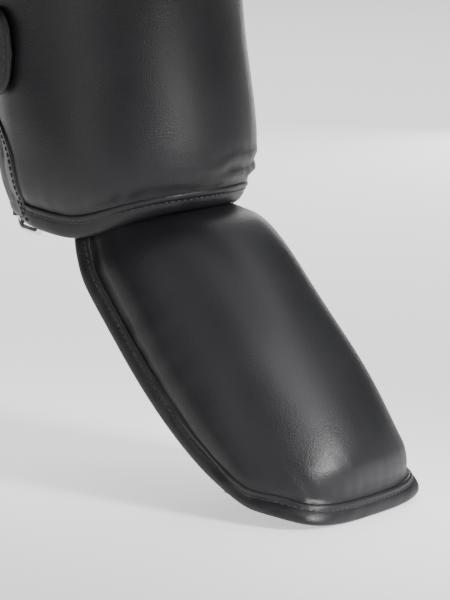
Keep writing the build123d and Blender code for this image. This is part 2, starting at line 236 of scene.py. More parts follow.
def bump(nodes, links, height, strength, distance, after=None):
    node = nodes.new("ShaderNodeBump")
    node.inputs["Strength"].default_value = strength
    node.inputs["Distance"].default_value = distance
    links.new(height, node.inputs["Height"])
    if after is not None:
        links.new(after, node.inputs["Normal"])
    return node.outputs["Normal"]


def colour_mix(nodes, links, factor, first, second):
    node = nodes.new("ShaderNodeMix")
    node.data_type = "RGBA"
    node.inputs["A"].default_value = (*first, 1)
    node.inputs["B"].default_value = (*second, 1)
    links.new(factor, node.inputs["Factor"])
    return node.outputs["Result"]


def leather(name, grain, depth, rough_low, rough_high, dark, light):
    """Pebbled coated leathercloth; grain is how many pebbles fit in a metre."""
    made, nodes, links, shader, place = material_nodes(name)
    cells = nodes.new("ShaderNodeTexVoronoi")
    cells.feature = "SMOOTH_F1"
    cells.inputs["Scale"].default_value = grain
    cells.inputs["Smoothness"].default_value = 0.6
    links.new(place, cells.inputs["Vector"])
    broad = noise(nodes, links, place, 26, 4)
    fine = noise(nodes, links, place, grain * 1.7, 2)
    pebble = spread(nodes, links, cells.outputs["Distance"], 0.1, 0.7, 1, 0)
    normal = bump(nodes, links, pebble, 0.55, depth)
    normal = bump(nodes, links, fine, 0.25, depth * 0.6, normal)
    normal = bump(nodes, links, broad, 0.25, 0.0012, normal)
    links.new(normal, shader.inputs["Normal"])
    links.new(spread(nodes, links, broad, 0.3, 0.7, rough_low, rough_high), shader.inputs["Roughness"])
    links.new(colour_mix(nodes, links, broad, dark, light), shader.inputs["Base Color"])
    shader.inputs["Specular IOR Level"].default_value = 0.34
    return made


cover_leather = leather(
    "cover_leather", grain=1150, depth=0.00012, rough_low=0.38, rough_high=0.48,
    dark=(0.006, 0.006, 0.007), light=(0.010, 0.010, 0.012),
)
trim_leather = leather(
    "trim_leather", grain=1300, depth=0.00009, rough_low=0.36, rough_high=0.48,
    dark=(0.007, 0.007, 0.008), light=(0.012, 0.012, 0.014),
)


# %% Cloth, elastic, pile, thread and plated wire
def woven(name, thread, dark, light, rough, sheen, ribs=None):
    """Cloth with two sets of threads; ribs are wider cords along the given axis."""
    made, nodes, links, shader, place = material_nodes(name)
    heights = []
    for turn in ((0.7, 0.7, 0.0), (-0.5, 0.5, 0.7)):
        wave = nodes.new("ShaderNodeTexWave")
        wave.inputs["Scale"].default_value = thread / 6.3
        wave.inputs["Distortion"].default_value = 0.6
        wave.inputs["Detail"].default_value = 1
        mapping = nodes.new("ShaderNodeMapping")
        mapping.inputs["Rotation"].default_value = turn
        links.new(place, mapping.inputs["Vector"])
        links.new(mapping.outputs["Vector"], wave.inputs["Vector"])
        heights.append(wave.outputs["Fac"])
    normal = bump(nodes, links, heights[0], 0.4, 0.0002)
    normal = bump(nodes, links, heights[1], 0.4, 0.0002, normal)
    if ribs is not None:
        rib = nodes.new("ShaderNodeTexWave")
        rib.bands_direction = ribs
        rib.inputs["Scale"].default_value = 75
        links.new(place, rib.inputs["Vector"])
        normal = bump(nodes, links, rib.outputs["Fac"], 0.6, 0.0005, normal)
    links.new(normal, shader.inputs["Normal"])
    patches = noise(nodes, links, place, 60)
    links.new(colour_mix(nodes, links, patches, dark, light), shader.inputs["Base Color"])
    shader.inputs["Roughness"].default_value = rough
    shader.inputs["Sheen Weight"].default_value = sheen
    return made


lining_cloth = woven("lining_cloth", 1500, (0.012, 0.012, 0.014), (0.022, 0.022, 0.025), 0.62, 0.15)
elastic_cloth = woven("elastic_cloth", 1100, (0.012, 0.012, 0.013), (0.024, 0.024, 0.026), 0.72, 0.2, "Z")
pile_cloth = woven("pile_cloth", 2600, (0.010, 0.010, 0.011), (0.026, 0.026, 0.028), 0.9, 0.4)
thread_finish = woven("thread", 3800, (0.012, 0.012, 0.013), (0.020, 0.020, 0.022), 0.6, 0.1)


def plated_wire(name):
    made, nodes, links, shader, place = material_nodes(name)
    marks = noise(nodes, links, place, 240, 3)
    shader.inputs["Metallic"].default_value = 1
    plating = colour_mix(nodes, links, marks, (0.72, 0.72, 0.74), (0.86, 0.86, 0.88))
    links.new(plating, shader.inputs["Base Color"])
    links.new(spread(nodes, links, marks, 0.3, 0.7, 0.10, 0.24), shader.inputs["Roughness"])
    links.new(bump(nodes, links, marks, 0.15, 0.0001), shader.inputs["Normal"])
    return made


plated = plated_wire("plated_wire")
print("finishes:", [m.name for m in bpy.data.materials])

# %% [markdown]
# ## The shin pad's shape
# Every level of the leg is a circle: how far its front stands forward, its radius and
# how full the foam is there. Two side-view curves, the hem with the back edge and the
# top edge, say where the pad stops. A point on the pad is named by two numbers:
# across, from -1 at the outer back edge to 1 at the inner one, and rise, from 0 at the
# hem to 1 at the top edge.

# %% Shin curves (millimetres)
shin_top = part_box("shin_top_binding")[1].z / MM
ankle_rows = [
    (-20, 60, 62, 0.28), (0, 63, 63, 0.30), (10, 68.5, 66.5, 0.42),
    (22, 76, 72, 0.70), (40, 79.5, 75, 0.95), (60, 77.5, 76, 1.0),
]
calf_rows = [
    (0.333, 67, 78, 1.0), (0.564, 65, 85, 1.0), (0.770, 66, 87, 1.0),
    (0.940, 68.5, 86, 0.8), (1.040, 69.5, 84.5, 0.4),
]
shin_rows = ankle_rows + [(share * shin_top, f, r, full) for share, f, r, full in calf_rows]
shin_front, shin_radius, shin_fullness = (spline([(row[0], row[i]) for row in shin_rows]) for i in (1, 2, 3))
hem_at = spline([(-110, 12), (-76, 12), (-64, 11), (-45, 5), (-20, -3), (0, -1), (20, 2), (36, 5)])
back_at = spline([(5, 36), (20, 38), (60, 44), (0.333 * shin_top, 55), (0.564 * shin_top, 58),
                  (0.770 * shin_top, 53), (0.880 * shin_top, 45)])
top_at = spline([(45, 0.880 * shin_top), (26, 0.950 * shin_top), (-12, 0.985 * shin_top), (-69, shin_top)])
WALL_FRONT, WALL_BACK, SKINS = 24.0, 7.0, 2.0
RIM_WALL = 6.0


def shin_place(across, rise):
    """Level, angle, leg centre and radius of a point of the pad."""
    z = hem_at(across * 0) + rise * shin_top
    for _ in range(10):
        radius = shin_radius(z)
        centre = radius - shin_front(z)
        reach = np.arccos(np.clip((centre - back_at(z)) / radius, -1, 1))
        y = centre - radius * np.cos(across * reach)
        z = hem_at(y) + rise * (top_at(y) - hem_at(y))
    return z, across * reach, centre, radius, reach


def shin_base(across, rise):
    z, angle, centre, radius, _ = shin_place(across, rise)
    return np.stack([radius * np.sin(angle), centre - radius * np.cos(angle), z], -1)


def surface_normal(base, across, rise):
    """Outward direction of a surface, from its slopes."""
    gap = 1e-3
    one = base(np.minimum(across + gap, 1), rise) - base(np.maximum(across - gap, -1), rise)
    two = base(across, np.minimum(rise + gap, 1)) - base(across, np.maximum(rise - gap, 0))
    return unit(np.cross(one, two))


def shin_edges(across, rise):
    """Distances to the hem, to the nearer back edge and to the top edge."""
    z, angle, centre, radius, reach = shin_place(across, rise)
    y = centre - radius * np.cos(angle)
    return z - hem_at(y), (1 - np.abs(across)) * reach * radius, top_at(y) - z


print("shin pad from", round(float(hem_at(-20.0)), 1), "to", round(float(shin_top), 1), "mm")


# %% [markdown]
# The pad is stuffed: it is full in the middle and pinched where it is sewn. Close to
# each seam the leather gathers in small puckers, and the coated skin has a few slow
# dents. A cloth simulation could find such shapes by itself. Here they are written as
# waves that fade away from the seams, which is quick and gives the same pad each time.

# %% Shin pad mesh
hem_ripple = ripples(3, 9, 9, 26)
edge_ripple = ripples(5, 9, 10, 30)
slow_dent = ripples(8, 7, 70, 190)


def shin_skin(across, rise):
    """Outer and inner surface of the stuffed pad."""
    base = shin_base(across, rise)
    normal = surface_normal(shin_base, across, rise)
    z, angle, centre, radius, reach = shin_place(across, rise)
    hem, side, top = shin_edges(across, rise)
    nearest = np.minimum(np.minimum(side, top), hem + 2)
    round_leg = np.degrees(angle)
    sink = 3.2 * (1 - smooth_step(np.minimum(side, top), 8, 34))
    sink += 1.0 * np.exp(-((nearest - 13) / 3.5) ** 2)
    pucker = 0.55 * edge_ripple(z) * np.exp(-side / 16) * smooth_step(side, 9, 13)
    pucker += 0.6 * hem_ripple(round_leg * 1.3) * np.exp(-hem / 15) * smooth_step(hem, 9, 14)
    dents = 0.5 * slow_dent(z + round_leg * 1.1) * smooth_step(nearest, 10, 60)
    wander = hem + 2.2 * hem_ripple(round_leg * 0.35) - 0.07 * round_leg
    folds = 1.25 * np.sin(2 * math.pi * wander / 10.5) * np.exp(-((hem - 17) / 8.5) ** 2)
    folds *= smooth_step(round_leg, -40, 25) * smooth_step(hem, 10, 13)
    outer = base + normal * (pucker + dents + folds - sink)[..., None]
    facing = (1 + np.cos(angle)) / 2
    wall = (WALL_FRONT * facing + WALL_BACK * (1 - facing)) * shin_fullness(z) + SKINS
    wall = RIM_WALL + (np.maximum(wall, RIM_WALL) - RIM_WALL) * smooth_step(nearest, 8, 40)
    inner = base - normal * (wall + np.minimum(sink, 1.5))[..., None]
    return outer, inner


def edge_grid(rows, columns, skin):
    across = np.sin(np.linspace(-1, 1, columns) * math.pi / 2 * 0.62) / math.sin(math.pi / 2 * 0.62)
    rise = np.linspace(0, 1, rows)
    return skin(*np.meshgrid(across, rise))


shin_outer, shin_inner = edge_grid(170, 150, shin_skin)
shin_pad = shell("shin_pad", shin_outer, shin_inner, [cover_leather, lining_cloth])
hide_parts("shin_cover", "shin_impact_foam", "shin_backing_foam", "shin_lining")
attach(shin_pad, "shin_pad")
print("shin pad faces:", len(shin_pad.data.polygons))

# %% [markdown]
# ## Folded bindings
# A strip of leather is folded over each edge and sewn through. Its cross-section is a
# flat loop: up the outside of the pad, round the edge and down the inside. The loop is
# carried along the edge, and every point of it is laid on the pad by looking for the
# nearest place on the pad's own mesh, so the fold follows each curve and dent.

# %% Binding helpers
def tree_of(grid):
    rows, columns = grid.shape[:2]
    return BVHTree.FromPolygons([tuple(p) for p in grid.reshape(-1, 3)], quads(rows, columns))


def resampled(line, step):
    line = np.asarray(line, float)
    length = np.concatenate([[0], np.cumsum(np.linalg.norm(np.diff(line, axis=0), axis=1))])
    places = np.linspace(0, length[-1], max(int(round(length[-1] / step)), 2) + 1)
    return np.stack([np.interp(places, length, line[:, i]) for i in range(3)], 1)


def laid_on(tree, points, away, lift):
    """Points moved to the nearest place of a skin, then lifted off it, away from the pad."""
    out = []
    for point, direction, height in zip(points, away, np.broadcast_to(lift, len(points))):
        spot, normal, _, _ = tree.find_nearest(Vector(point))
        normal = Vector(normal)
        if normal.dot(Vector(direction)) < 0:
            normal.negate()
        out.append(spot + normal * float(height))
    return np.array([tuple(p) for p in out])


def softened(values, passes=3):
    for _ in range(passes):
        inside = (values[:-2] + 2 * values[1:-1] + values[2:]) / 4
        values = np.concatenate([values[:1], inside, values[-1:]])
    return values


# depth from the edge and height over the skin, along the outside flap
FLAP = [
    (11.6, -0.6), (11.4, 0.35), (10.8, 0.95), (9.6, 1.15), (8.2, 0.95),
    (7.2, 0.55), (6.2, 0.95), (4.4, 1.3), (2.2, 1.35), (0.6, 1.25),
]
STITCH_DEPTH = 7.2      # the stitch line lies in the flap's groove
STITCH_LIFT = 0.75
FOLD_TURNS = (60, 25, -10, -45, -75)
FOLD_SPACE = 1.2        # leather's room round the edge
EDGE_STEP = 2.2


def edge_frame(outer_line, inner_line, step=EDGE_STEP, smooth=3):
    """Evenly spaced rim points, with directions out of the skin and out of the edge."""
    outer = softened(resampled(outer_line, step), smooth)
    count = len(outer)
    dense = resampled(inner_line, 0.5)
    inner = np.array([dense[np.argmin(np.linalg.norm(dense - p, axis=1))] for p in outer])
    inner = softened(inner, smooth + 2)
    across = unit(softened(outer - inner, 6))
    along = unit(np.gradient(outer, axis=0))
    outwards = unit(np.cross(along, across))
    return outer, inner, across, outwards, count


def binding(name, outer_line, inner_line, trees, pad_middle, ripple, width=1.0):
    outer, inner, across, outwards, count = edge_frame(outer_line, inner_line)
    side = np.sign(np.sum(outwards * (outer - pad_middle), axis=1).mean())
    outwards = outwards * side
    wave = np.array([ripple(i * EDGE_STEP) for i in range(count)])
    loop = []
    for depth, height in FLAP:
        lift = height + (0.18 * wave if height > 1 else 0)
        loop.append(laid_on(trees[0], outer - outwards * depth * width, across, lift))
    thick = np.linalg.norm(outer - inner, axis=1)[:, None]
    middle = (outer + inner) / 2
    for turn in FOLD_TURNS:
        c, s = math.cos(math.radians(turn)), math.sin(math.radians(turn))
        loop.append(
            middle + across * (thick / 2 + FOLD_SPACE) * s + outwards * (FOLD_SPACE + 0.3 * thick) * c
        )
    for depth, height in reversed(FLAP):
        loop.append(laid_on(trees[1], inner - outwards * depth * width, -across, height))
    rings = np.stack(loop, 1)
    made = loft(name, rings, trim_leather)
    seam = laid_on(trees[0], outer - outwards * STITCH_DEPTH * width, across, STITCH_LIFT)
    return made, seam


def lines_of(outer, inner, key):
    return outer[key].reshape(-1, 3), inner[key].reshape(-1, 3)


shin_trees = tree_of(shin_outer), tree_of(shin_inner)
shin_middle = shin_outer.reshape(-1, 3).mean(0)
seams = {}

# %% Shin bindings
shin_binding_edges = {
    "outer_side_binding": (slice(2, None), 0),
    "inner_side_binding": (slice(2, None), -1),
    "shin_top_binding": (-1, slice(None)),
    "shin_hem_binding": (0, slice(None)),
}
binding_ripple = ripples(12, 6, 14, 40)
for name, key in shin_binding_edges.items():
    piece, seams[name] = binding(
        name + "_leather", *lines_of(shin_outer, shin_inner, key), shin_trees, shin_middle, binding_ripple
    )
    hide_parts(name)
    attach(piece, "shin_pad")
    print(name, "binding:", len(piece.data.polygons), "faces")

# %% [markdown]
# ## The instep pad's shape
# The instep pad is an arch over the foot, described from the crease down to the toe:
# how high its crest stands, how wide it is and how far its long edges hang. Towards
# the toe the arch flattens and the two corners are rounded. At the other end the sides
# run further up than the middle, so that the whole edge is tucked inside the hem.

# %% Instep curves (millimetres)
SLOPE = math.radians(53)
instep_along = np.array([0, -math.cos(SLOPE), -math.sin(SLOPE)])
instep_out = np.array([0, -math.sin(SLOPE), math.cos(SLOPE)])
instep_start = np.array([0, -62.0, 9.0])
INSTEP_LENGTH = 197.0
INSTEP_TOP = -5.0
TOE_ROUND = 36.0
crest_at = spline([
    (-30, -6), (-5, 0), (4, 7), (12, 14), (25, 19.5), (60, 23.5), (110, 25), (150, 23), (175, 17),
    (188, 9.5), (198, 3),
])
width_at = spline([
    (-30, 55), (-5, 60), (8, 62.5), (30, 64), (70, 66), (110, 66.5), (140, 65.5), (160, 64), (198, 62.5),
])


def edge_height(distance):
    rising = 6 * smooth_step(-distance, -8, 28)
    return rising - 51 * (1 - np.exp(-np.maximum(INSTEP_LENGTH - distance, 0) / 50)) - 2


def instep_place(across, rise):
    """Distance down the instep; its end curves back at the two toe corners."""
    end = INSTEP_LENGTH - TOE_ROUND * (1 - (1 - np.abs(across) ** 3.0) ** (1 / 3.0))
    start = INSTEP_TOP - 20 * np.abs(across) ** 2
    return start + rise * (end - start)


def instep_base(across, rise):
    distance = instep_place(across, rise)
    q = np.abs(across)
    crest, edge = crest_at(distance), edge_height(distance)
    height = edge + (crest - edge) * (1 - q**2.35) ** (1 / 1.85)
    x = across * width_at(distance)
    return (instep_start + distance[..., None] * instep_along + height[..., None] * instep_out
            + x[..., None] * np.array([1.0, 0, 0]))


def arc_lengths(grid, axis):
    step = np.linalg.norm(np.diff(grid, axis=axis), axis=2)
    total = np.cumsum(step, axis=axis)
    return np.concatenate([np.zeros_like(np.take(total, [0], axis)), total], axis)


# %% Instep pad mesh
toe_ripple = ripples(21, 8, 9, 24)
long_ripple = ripples(22, 8, 12, 34)
instep_dent = ripples(27, 6, 60, 160)
ROWS, COLUMNS = 120, 130


def instep_skin():
    turn = np.linspace(-1, 1, COLUMNS) * math.pi / 2
    column = np.sign(turn) * np.abs(np.sin(turn)) ** 0.86
    across, rise = np.meshgrid(column, np.linspace(0, 1, ROWS))
    base = instep_base(across, rise)
    rows_on = np.gradient(base, axis=0)
    columns_on = np.gradient(base, axis=1)
    normal = unit(np.cross(rows_on, columns_on))
    normal *= np.sign(np.sum(normal * instep_out, axis=2).mean())
    sideways = arc_lengths(base, 1)
    side = np.minimum(sideways, sideways[:, -1:] - sideways)
    down = arc_lengths(base, 0)
    toe = down[-1:] - down
    rim = np.minimum(side, toe)
    distance = instep_place(across, rise)
    sink = 4.2 * (1 - smooth_step(rim, 8, 30)) + 1.2 * np.exp(-((rim - 13) / 3.2) ** 2)
    sink += 2.5 * (1 - smooth_step(down, 0, 14))
    pucker = 0.55 * long_ripple(distance) * np.exp(-side / 15) * smooth_step(side, 9, 14)
    pucker += 0.3 * toe_ripple(sideways) * np.exp(-toe / 15) * smooth_step(toe, 9, 14)
    dents = 0.6 * instep_dent(distance + 0.7 * sideways) * smooth_step(rim, 10, 50)
    outer = base + normal * (pucker + dents - sink)[..., None]
    wall = 8 + 10 * np.clip(1 - np.abs(across) ** 2, 0, 1)
    wall = 3.4 + (wall - 3.4) * smooth_step(np.minimum(rim, down + 4), 8, 38)
    inner = outer - normal * (wall - np.minimum(sink, 2))[..., None]
    return outer, inner


instep_outer, instep_inner = instep_skin()
instep_pad = shell("instep_pad", instep_outer, instep_inner, [cover_leather, lining_cloth])
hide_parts("instep_cover", "instep_impact_foam", "instep_backing_foam", "instep_lining")
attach(instep_pad, "instep_pad")
print("instep pad faces:", len(instep_pad.data.polygons))

# %% Instep bindings
instep_trees = tree_of(instep_outer), tree_of(instep_inner)
instep_middle = instep_outer.reshape(-1, 3).mean(0)


def rim_line(grid):
    return np.concatenate([grid[1:, 0], grid[-1, 1:-1], grid[::-1, -1][:-1]])


for name, outer_line, inner_line in (
    ("instep_edge_binding", rim_line(instep_outer), rim_line(instep_inner)),
    ("instep_crease_binding", instep_outer[0], instep_inner[0]),
):
    piece, seams[name] = binding(
        name + "_leather", outer_line, inner_line, instep_trees, instep_middle, binding_ripple, width=0.86
    )
    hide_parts(name)
    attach(piece, "instep_pad")
    print(name, "binding:", len(piece.data.polygons), "faces")

# %% [markdown]
# ## The crease between the pads
# A strip of the same leather joins the two pads across the front of the ankle. It is
# sewn inside the hem and inside the instep pad, and it bulges out between them in a
# soft fold.

# %% Crease gusset
CREASE_HALF = 62.5
CREASE_LEATHER = 1.4


def crease_strip():
    x = CREASE_HALF * np.linspace(-0.93, 0.93, 110)
    hem_outer, hem_inner = (grid[0] for grid in (shin_outer, shin_inner))
    front_half = hem_outer[:, 1] < 5
    hem_line = ((hem_outer + hem_inner) / 2)[front_half]
    order = np.argsort(hem_line[:, 0])
    hem = np.stack([np.interp(x, hem_line[order, 0], hem_line[order, i]) for i in range(3)], 1)
    top_line = (instep_outer[0] + instep_inner[0]) / 2
    top = np.stack([np.interp(x, top_line[:, 0], top_line[:, i]) for i in range(3)], 1)
    away = unit(np.stack([hem[:, 0], hem[:, 1] - 5, x * 0], 1))
    middle = (hem + top) / 2
    gather = ripples(31, 8, 9, 30)
    wave = np.array([gather(v) for v in x])[:, None]
    rows = [
        hem + np.array([0, 0, 13.0]) - away * 5, hem + np.array([0, 0, 6.0]) - away * 3.5,
        hem + np.array([0, 0, 1.0]) - away * 1.5, hem - np.array([0, 0, 1.6]) + away * (0.8 + 0.5 * wave),
        middle + away * (2.6 + 0.7 * wave), top + instep_out * 0.6 + away * (1.2 - 0.4 * wave),
        top + instep_along * 3 - instep_out * 1.5, top + instep_along * 8 - instep_out * 3,
        top + instep_along * 15 - instep_out * 4,
    ]
    coarse = np.stack(rows)
    finer = spline_rows(coarse, 34)
    normal = unit(np.cross(np.gradient(finer, axis=0), np.gradient(finer, axis=1)))
    normal *= np.sign(np.sum(normal * away[None], axis=2).mean())
    return finer, finer - normal * CREASE_LEATHER


def spline_rows(coarse, count):
    """A smooth surface through rows of points."""
    spots = np.arange(len(coarse), dtype=float)
    places = np.linspace(0, spots[-1], count)
    flat = coarse.reshape(len(coarse), -1)
    out = np.stack([spline(list(zip(spots, flat[:, k])))(places) for k in range(flat.shape[1])], 1)
    return out.reshape(count, *coarse.shape[1:])


gusset = shell("crease_gusset_leather", *crease_strip(), [trim_leather, lining_cloth])
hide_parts("crease_gusset")
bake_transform(gusset)
print("crease gusset faces:", len(gusset.data.polygons))

# %% [markdown]
# ## Patches, straps and bands
# The back corners of the shin pad carry a second layer of leather with a curved sewn
# edge. Two wide elastic bands close the pad round the calf and a narrow one closes it
# round the ankle; each ends in a rounded leather tab that lies on the pad's outside.

# %% Wing patches
def from_side(tree, side, y, z):
    hit, normal, _, _ = tree.ray_cast(Vector((side * 200.0, y, z)), Vector((-side, 0, 0)))
    if hit is None:
        hit, normal, _, _ = tree.find_nearest(Vector((side * 70.0, y, z)))
    normal = Vector(normal)
    if normal.x * side < 0:
        normal.negate()
    return np.array(hit), np.array(normal)


def wing_patch(name, side, curve):
    share = np.linspace(0, 1, 60)
    spots = np.linspace(0, 1, len(curve))
    ys, zs = (spline(list(zip(spots, [c[i] for c in curve])))(share) for i in (0, 1))
    reach = np.concatenate([[0, 0.012, 0.03, 0.06], np.linspace(0.1, 1, 26)])
    lift = np.interp(reach, [0, 0.012, 0.03, 0.06, 0.10, 0.14, 1], [-0.4, 0.5, 1.1, 1.25, 1.1, 1.25, 1.15])
    outer, inner = [], []
    for y, z in zip(ys, zs):
        back = max(float(back_at(max(z, 6.0))) - 4, y + 2)
        column = [from_side(shin_trees[0], side, y + r * (back - y), max(z, 3.5)) for r in reach]
        outer.append([hit + normal * h for (hit, normal), h in zip(column, lift)])
        inner.append([hit - normal * 0.9 for hit, normal in column])
    made = shell(name + "_leather", np.array(outer), np.array(inner), [trim_leather])
    seam = []
    for k in range(len(ys)):
        hit, normal = from_side(shin_trees[0], side, ys[k] + 3.2, max(zs[k] - 1.5, 8))
        seam.append(hit + normal * 1.45)
    return made, np.array(seam)


for name, side, curve in (
    ("outer_wing_patch", -1, [(49, 68), (31, 59), (15, 38), (14, 2)]),
    ("inner_wing_patch", 1, [(49, 68), (22, 56), (-8, 38), (-14, 0)]),
):
    piece, seams[name] = wing_patch(name, side, curve)
    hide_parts(name)
    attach(piece, "shin_pad")
    print(name, "patch:", len(piece.data.polygons), "faces")


# %% Calf straps
def strap_point(level, angle, lift):
    """Place on the strap's circle: angle in degrees from the front, towards +X."""
    front, radius = float(shin_front(level)), float(shin_radius(level))
    turn = np.radians(angle)
    return np.stack([(radius + lift) * np.sin(turn), radius - front - (radius + lift) * np.cos(turn)], -1)


def strap_piece(
    name, level, width, start, end, low, high, materials, tip=0.0, body="shin_pad"
):
    """A band of the strap between two angles; a tip longer than 0 rounds its far end."""
    angles = np.linspace(start, end, max(int(abs(end - start) / 1.2), 10) + 1)
    radius = float(shin_radius(level)) + high
    run = np.radians(abs(end - angles)) * radius
    share = np.ones_like(run)
    if tip:
        inside = np.clip(run / tip, 0, 1)
        share = np.maximum((1 - (1 - inside) ** 2.4) ** (1 / 2.4), 0.02)
    profile = np.linspace(-1, 1, 25)
    edge = (1 - np.abs(profile) ** 12) ** (1 / 3)
    thick = high - low
    outer, inner = [], []
    for angle, part in zip(angles, share):
        soft = thick * (0.30 + 0.70 * edge * min(part * 3, 1))
        at = strap_point(level, np.full(profile.shape, angle), low + soft)
        under = strap_point(level, np.full(profile.shape, angle), low + thick * 0.12 * (1 - edge))
        z = level + profile * part * width / 2
        outer.append(np.column_stack([at, z]))
        inner.append(np.column_stack([under, z]))
    made = shell(name, np.array(outer), np.array(inner), materials)
    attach(made, body)
    return made


def tab_seam(level, width, start, end, lift, tip, inset=3.6):
    radius = float(shin_radius(level)) + lift
    down = []
    for angle in np.linspace(start, end, 60):
        run = math.radians(abs(end - angle)) * radius - inset
        if run < 0:
            continue
        inside = min(run / tip, 1)
        half = (width / 2 - inset) * (1 - (1 - inside) ** 2.4) ** (1 / 2.4)
        down.append((*strap_point(level, angle, lift), half))
    side = np.array(down)
    upper = np.column_stack([side[:, 0], side[:, 1], level + side[:, 2]])
    lower = np.column_stack([side[:, 0], side[:, 1], level - side[:, 2]])
    return np.concatenate([upper, lower[::-1]])


STRAP_LOW, STRAP_HIGH, STRAP_WIDTH = 3.2, 5.8, 50.0
TAB_TIP = 15.0
ANCHOR_TIP = 6.0
BAND_START, BAND_END = 131.3, 228.7        # degrees from the front, across the back of the leg
ANCHOR_START, ANCHOR_END = 130.2, 108.0
TAB_START, TAB_END = -130.3, -91.0
PILE_START, PILE_END = -126.0, -96.0
SEAM_START = 129.0
SEAM_LIFT = STRAP_HIGH - 0.1
for name, level in (("lower", 97.0), ("upper", 287.0)):
    band = strap_piece(
        f"{name}_strap_elastic", level, STRAP_WIDTH, BAND_START, BAND_END, STRAP_LOW, STRAP_HIGH,
        [elastic_cloth],
        body=f"{name}_strap",
    )
    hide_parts(f"{name}_strap_band")
    anchor = strap_piece(
        f"{name}_anchor_leather", level, STRAP_WIDTH, ANCHOR_START, ANCHOR_END, 1.2, STRAP_HIGH,
        [trim_leather], tip=ANCHOR_TIP,
    )
    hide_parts(f"{name}_strap_anchor")
    tab = strap_piece(
        f"{name}_tab_leather", level, STRAP_WIDTH - 1, TAB_START, TAB_END, STRAP_LOW, STRAP_HIGH,
        [trim_leather], tip=TAB_TIP, body=f"{name}_tab",
    )
    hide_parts(f"{name}_strap_tab")
    pile = strap_piece(
        f"{name}_pile", level, STRAP_WIDTH - 12, PILE_START, PILE_END, -0.4, 0.9, [pile_cloth],
    )
    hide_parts(f"{name}_loop_panel")
    seams[f"{name}_tab"] = tab_seam(
        level, STRAP_WIDTH - 1, -SEAM_START, TAB_END, SEAM_LIFT, TAB_TIP
    )
    seams[f"{name}_anchor"] = tab_seam(
        level, STRAP_WIDTH, SEAM_START, ANCHOR_END, SEAM_LIFT, ANCHOR_TIP
    )
    print(name, "strap: band, anchor and tab")

# %% Sewn crosses at the hem's back corners
cross_corners = [(12.5, 2.5), (19.5, 12.0)], [(19.5, 3.0), (12.5, 11.5)]
for name, side in (("outer_corner", -1), ("inner_corner", 1)):
    for number, (first, last) in enumerate(cross_corners):
        line = []
        for share in np.linspace(0, 1, 12):
            y, z = (a + (b - a) * share for a, b in zip(first, last))
            hit, normal = from_side(shin_trees[0], side, y, max(z, 3.2))
            line.append(hit + normal * 1.8)
        seams[f"{name}_{number}"] = np.array(line)
print("crosses sewn")

# %% [markdown]
# ## Stitches
# Every seam is a line of points. One node tree turns a line into stitches: it divides
# the line by the stitch pitch, turns a small rounded thread along the line at every
# division and varies each a little, always in the same way.

# %% Stitch tree
STITCH_SIZES = {"Pitch": 0.0037, "Stitch Length": 0.0029, "Thread": 0.0009}
SCALE_RANGE = {"Min": 0.9, "Max": 1.08}


def stitch_tree():
    tree = bpy.data.node_groups.new("stitch_row", "GeometryNodeTree")
    tree.is_modifier = True
    face, nodes, links = tree.interface, tree.nodes, tree.links
    face.new_socket("Line", in_out="INPUT", socket_type="NodeSocketGeometry")
    for key, value in STITCH_SIZES.items():
        face.new_socket(key, in_out="INPUT", socket_type="NodeSocketFloat").default_value = value
    face.new_socket("Seed", in_out="INPUT", socket_type="NodeSocketInt").default_value = 4
    face.new_socket("Finish", in_out="INPUT", socket_type="NodeSocketMaterial")
    face.new_socket("Stitches", in_out="OUTPUT", socket_type="NodeSocketGeometry")
    given = nodes.new("NodeGroupInput").outputs
    even = nodes.new("GeometryNodeResampleCurve")
    even.mode = "LENGTH"
    links.new(given["Line"], even.inputs["Curve"])
    links.new(given["Pitch"], even.inputs["Length"])
    ball = nodes.new("GeometryNodeMeshUVSphere")
    ball.inputs["Segments"].default_value = 8
    ball.inputs["Rings"].default_value = 6
    ball.inputs["Radius"].default_value = 0.5
    size = nodes.new("ShaderNodeCombineXYZ")
    links.new(given["Thread"], size.inputs["X"])
    links.new(given["Thread"], size.inputs["Y"])
    links.new(given["Stitch Length"], size.inputs["Z"])
    shaped = nodes.new("GeometryNodeTransform")
    links.new(ball.outputs["Mesh"], shaped.inputs["Geometry"])
    links.new(size.outputs["Vector"], shaped.inputs["Scale"])
    turn = nodes.new("FunctionNodeAlignRotationToVector")
    turn.axis = "Z"
    vary = nodes.new("FunctionNodeRandomValue")
    vary.data_type = "FLOAT"
    for socket in vary.inputs:
        if socket.type == "VALUE" and socket.name in SCALE_RANGE:
            socket.default_value = SCALE_RANGE[socket.name]
    links.new(given["Seed"], vary.inputs["Seed"])
    chance = [o for o in vary.outputs if o.type == "VALUE"][0]
    placed = nodes.new("GeometryNodeInstanceOnPoints")
    points = nodes.new("GeometryNodeCurveToPoints")
    points.mode = "EVALUATED"
    links.new(even.outputs["Curve"], points.inputs["Curve"])
    links.new(points.outputs["Points"], placed.inputs["Points"])
    links.new(points.outputs["Tangent"], turn.inputs["Vector"])
    links.new(shaped.outputs["Geometry"], placed.inputs["Instance"])
    links.new(turn.outputs["Rotation"], placed.inputs["Rotation"])
    links.new(chance, placed.inputs["Scale"])
    real = nodes.new("GeometryNodeRealizeInstances")
    links.new(placed.outputs["Instances"], real.inputs["Geometry"])
    coat = nodes.new("GeometryNodeSetMaterial")
    links.new(real.outputs["Geometry"], coat.inputs["Geometry"])
    links.new(given["Finish"], coat.inputs["Material"])
    links.new(coat.outputs["Geometry"], nodes.new("NodeGroupOutput").inputs["Stitches"])
    return tree


